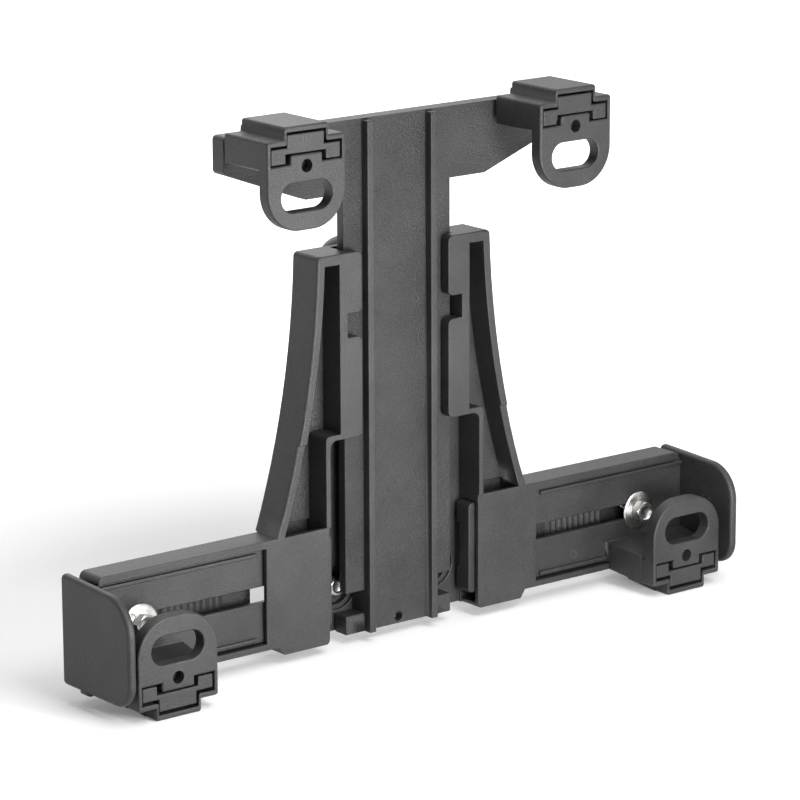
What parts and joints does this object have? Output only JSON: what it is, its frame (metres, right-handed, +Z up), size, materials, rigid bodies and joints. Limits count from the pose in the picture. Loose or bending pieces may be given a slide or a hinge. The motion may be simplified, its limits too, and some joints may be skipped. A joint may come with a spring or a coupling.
{
  "type": "tablet holder",
  "caption": "Adjustable tablet holder for a car: curved frame with a sliding T-shaped column, two sliding side arms, slotted hooks at the corners and a ball at the back.",
  "frame": {"origin": "middle of the holder's width and depth, at the level of its lowest point", "axes": "+X to the right as seen by someone who looks at the tablet's screen, +Y towards the back where the ball is, +Z up along the column"},
  "size_m": [0.2516, 0.0644, 0.179],
  "materials": {
    "black_moulding": "fine spark-eroded grain, satin",
    "ball_moulding": "smooth satin",
    "plated_steel": "bright zinc plate"
  },
  "bodies": {
    "frame": {"frame": "black_moulding", "ball_mount": "ball_moulding", "ball_screw": "plated_steel", "left_clamp_bolt": "plated_steel", "left_clamp_washer": "plated_steel", "left_clamp_nut": "plated_steel", "left_cup_screw": "plated_steel", "left_cup_screw_nut": "plated_steel", "right_clamp_bolt": "plated_steel", "right_clamp_washer": "plated_steel", "right_clamp_nut": "plated_steel", "right_cup_screw": "plated_steel", "right_cup_screw_nut": "plated_steel"},
    "column": {"column": "black_moulding"},
    "left_arm": {"left_arm": "black_moulding"},
    "right_arm": {"right_arm": "black_moulding"},
    "top_left_hook": {"top_left_hook": "black_moulding"},
    "top_right_hook": {"top_right_hook": "black_moulding"},
    "low_left_hook": {"low_left_hook": "black_moulding"},
    "low_right_hook": {"low_right_hook": "black_moulding"}
  },
  "joints": [
    {"name": "column_slide", "type": "slide", "parent": "frame", "child": "column", "axis": [0, 0, 1], "range_m": [0, 0.065]},
    {"name": "left_arm_slide", "type": "slide", "parent": "frame", "child": "left_arm", "axis": [-1, 0, 0], "range_m": [0, 0.05]},
    {"name": "right_arm_slide", "type": "slide", "parent": "frame", "child": "right_arm", "axis": [1, 0, 0], "range_m": [0, 0.05]},
    {"name": "top_left_hook_slide", "type": "slide", "parent": "column", "child": "top_left_hook", "axis": [0, -1, 0], "range_m": [0, 0.008]},
    {"name": "top_right_hook_slide", "type": "slide", "parent": "column", "child": "top_right_hook", "axis": [0, -1, 0], "range_m": [0, 0.008]},
    {"name": "low_left_hook_slide", "type": "slide", "parent": "left_arm", "child": "low_left_hook", "axis": [0, -1, 0], "range_m": [0, 0.004]},
    {"name": "low_right_hook_slide", "type": "slide", "parent": "right_arm", "child": "low_right_hook", "axis": [0, -1, 0], "range_m": [0, 0.004]}
  ]
}
